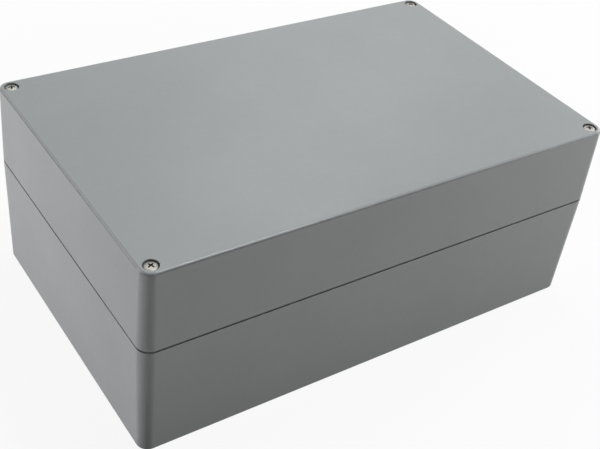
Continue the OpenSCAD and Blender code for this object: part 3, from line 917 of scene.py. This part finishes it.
def noise(tree, at, pattern):
    """Noise in space, about 0.5 in the mean."""
    return node(tree, "ShaderNodeTexNoise", {"Vector": at, **pattern}).outputs[0]


def wear_shade_amount(tree):
    """The darkening, partly from use and partly painted shade, that the piece's own points carry.
    """
    return node(tree, "ShaderNodeAttribute", attribute_name="wear_and_shade").outputs["Fac"]


print("meshes that carry wear:", sum("wear_and_shade" in mesh.attributes for mesh in bpy.data.meshes))

# %% [markdown]
# ## The polyester
# Sheet moulding compound comes out of a hot polished mould with a satin skin. Close up, the grey is
# never one colour: resin and glass settle in soft clouds a few centimetres wide, with a finer
# mottle and a grain under a millimetre on top. Edges are darker, partly as wear where the flash was
# filed off and dirt has settled, and partly as painted shade: the seam's chamfers are painted dark
# for the shadow in the gap, and the lid's top edge low down for the shade under its highlight. The
# upper side of the lid's edge is polished by handling. A plain grey with one roughness would be
# quicker, and would look like a drawing.

# %% Polyester finish
GREY, GREY_DARK = (0.345, 0.37, 0.372, 1), (0.32, 0.345, 0.347, 1)
# The dark grey of worn edges, also a painted shade at the seam and low on the lid's top edge.
WEAR_SHADE_GREY, WEAR_SHADE_SPAN = (0.018, 0.02, 0.0204, 1), (0.0, 0.5)
CLOUD = {"Scale": 16.0, "Detail": 2.0}
MOTTLE, MOTTLE_SHARE = {"Scale": 210.0, "Detail": 4.0, "Roughness": 0.6}, 0.7
GRAIN, GRAIN_BUMP = {"Scale": 1500.0, "Detail": 2.0}, {"Strength": 0.25, "Distance": 0.00004}
SHADE_SPAN, SATIN_SPAN, SATIN_ENDS = (0.55, 1.15), (0.4, 1.3), (0.38, 0.30)
POLISH_SPAN, POLISH_ENDS = (-1.0, 0.0), (0.09, 0.0)
LID_SHIFT, BASE_SHIFT = (0.0, 0.0, 0.0), (0.31, 0.17, 0.05)


def polyester(name, shift):
    """Two greys mixed by a mottle and a cloud, darker on edges, partly from use and partly as
    painted shade, with a fine grain as bump. The tone is cloud + share * mottle, and also makes the
    satin a little uneven."""
    finish, tree, skin = new_finish(name)
    place = {"Vector": object_place(tree), "Location": shift}
    at = node(tree, "ShaderNodeMapping", place).outputs[0]
    cloud, mottle, grain = (noise(tree, at, pattern) for pattern in (CLOUD, MOTTLE, GRAIN))
    tone = maths(tree, "MULTIPLY_ADD", mottle, MOTTLE_SHARE, cloud)
    body = colour_between(tree, ranged(tree, tone, SHADE_SPAN), GREY_DARK, GREY)
    shaded_wear = wear_shade_amount(tree)
    # Darker edges: partly wear, partly painted shade at the seam and low on the lid's top edge.
    edge_dirt_and_shade = ranged(tree, maths(tree, "MULTIPLY", shaded_wear, mottle), WEAR_SHADE_SPAN)
    grey = colour_between(tree, edge_dirt_and_shade, body, WEAR_SHADE_GREY)
    satin = ranged(tree, tone, SATIN_SPAN, SATIN_ENDS)
    polish = ranged(tree, shaded_wear, POLISH_SPAN, POLISH_ENDS)
    rough = maths(tree, "SUBTRACT", satin, polish)
    relief = node(tree, "ShaderNodeBump", {"Height": grain, **GRAIN_BUMP}).outputs[0]
    feed(tree, skin, {"Base Color": grey, "Roughness": rough, "Normal": relief})
    return finish


lid.data.materials.append(polyester("lid_polyester", LID_SHIFT))
base.data.materials.append(polyester("base_polyester", BASE_SHIFT))
print("polyester:", len(lid.data.materials[0].node_tree.nodes), "nodes")

# %% [markdown]
# ## Steel, zinc and brass
# The screws are turned on a lathe, so their heads carry fine rings about their own axis. One axis
# stands in each quarter of the box, so folding the coordinates with an absolute value gives the
# distance from the nearest axis for all four at once. Noise along that distance makes the rings. A
# picture of rings on each head would need its own map. Washers and bushes get the same, the brass
# with a dull brown where it has tarnished, and the cross recesses are painted dark, a painted shade
# for their hollows.

# %% Metal finishes
STEEL = (0.30, 0.29, 0.27, 1), (0.20, 0.19, 0.175, 1), 0.42  # bright, dull, roughness
# Painted shade for the inside of the cross recesses.
RECESS_SHADE = (0.08, 0.073, 0.066, 1)
PATCHES, PATCH_SPAN = {"Scale": 420.0, "Detail": 3.0}, (0.45, 0.75)
RINGS, RING_ROUGH = {"Scale": 9000.0, "Detail": 2.0}, 0.15
RING_BUMP = {"Strength": 0.3, "Distance": 0.00001}


def turned_metal(name, metal, place):
    """Bright metal with dull patches, painted shade where the points' darkening says so, and lathe
    rings from noise along the distance to the nearest axis, whose place is given in millimetres."""
    bright, dull, rough = metal
    finish, tree, skin = new_finish(name)
    at = object_place(tree)

    def vector(operation, *values):
        inputs = dict(enumerate(values))
        return node(tree, "ShaderNodeVectorMath", inputs, operation=operation).outputs

    axis = (place[0] * MM, place[1] * MM, 0)
    local = vector("SUBTRACT", vector("ABSOLUTE", at)[0], axis)[0]
    away = vector("LENGTH", vector("MULTIPLY", local, (1, 1, 0))[0])["Value"]
    lathe = {"W": away, **RINGS}
    rings = node(tree, "ShaderNodeTexNoise", lathe, noise_dimensions="1D").outputs[0]
    patches = ranged(tree, noise(tree, at, PATCHES), PATCH_SPAN)
    colour = colour_between(tree, patches, bright, dull)
    recess_shaded = colour_between(tree, wear_shade_amount(tree), colour, RECESS_SHADE)
    gloss = ranged(tree, rings, ends=(rough, rough + RING_ROUGH))
    relief = node(tree, "ShaderNodeBump", {"Height": rings, **RING_BUMP}).outputs[0]
    feed(tree, skin, {"Metallic": 1.0, "Base Color": recess_shaded, "Roughness": gloss, "Normal": relief})
    return finish


steel = turned_metal("stainless_steel", STEEL, SCREWS["back_right"])
print("steel:", len(steel.node_tree.nodes), "nodes")

# %% [markdown]
# ## Metal on the pieces
# Screws, washers and pillar bushes share the four screw axes. The floor bushes stand on two other
# sets of axes, so the brass is made three times. One material with a choice of axis inside would
# save two copies, but would be harder to read.

# %% Metal pieces
ZINC = (0.60, 0.60, 0.58, 1), (0.46, 0.46, 0.45, 1), 0.28
BRASS = (0.72, 0.53, 0.23, 1), (0.45, 0.31, 0.13, 1), 0.22

zinc = turned_metal("washer_zinc", ZINC, SCREWS["back_right"])
pillar_brass = turned_metal("pillar_brass", BRASS, SCREWS["back_right"])
floor_brass = turned_metal("floor_brass", BRASS, BOSSES["back_right"])
middle_brass = turned_metal("middle_brass", BRASS, BOSSES["back_middle"])
for pieces, finish in ((screws, steel), (washers, zinc), (pillar_bushes, pillar_brass)):
    for piece in pieces:
        piece.data.materials.append(finish)
for place, piece in floor_bushes.items():
    piece.data.materials.append(middle_brass if place.endswith("middle") else floor_brass)
print("metal on", len(screws + washers + pillar_bushes) + len(floor_bushes), "pieces")

# %% [markdown]
# ## Rubber
# The gasket is poured foam rubber, nearly black, a little uneven in colour, with fine pores in its
# skin. Modelled pores would be thousands of faces for something that only shows with the lid off,
# so cells of a Voronoi pattern dent the surface as bump.

# %% Rubber finish
RUBBER, RUBBER_PALE, RUBBER_ROUGH = (0.022, 0.022, 0.023, 1), (0.045, 0.045, 0.046, 1), 0.75
BLOOM, PORE_SCALE = {"Scale": 90.0, "Detail": 3.0}, 1400.0
PORE_BUMP = {"Strength": 0.35, "Distance": 0.00008}


def rubber(name):
    """Nearly black, a little uneven, with fine pores."""
    finish, tree, skin = new_finish(name)
    at = object_place(tree)
    colour = colour_between(tree, noise(tree, at, BLOOM), RUBBER, RUBBER_PALE)
    cells = node(tree, "ShaderNodeTexVoronoi", {"Vector": at, "Scale": PORE_SCALE})
    pores = {"Height": cells.outputs["Distance"], **PORE_BUMP}
    relief = node(tree, "ShaderNodeBump", pores).outputs[0]
    feed(tree, skin, {"Base Color": colour, "Roughness": RUBBER_ROUGH, "Normal": relief})
    return finish


gasket.data.materials.append(rubber("gasket_rubber"))
print("finishes:", len(bpy.data.materials))
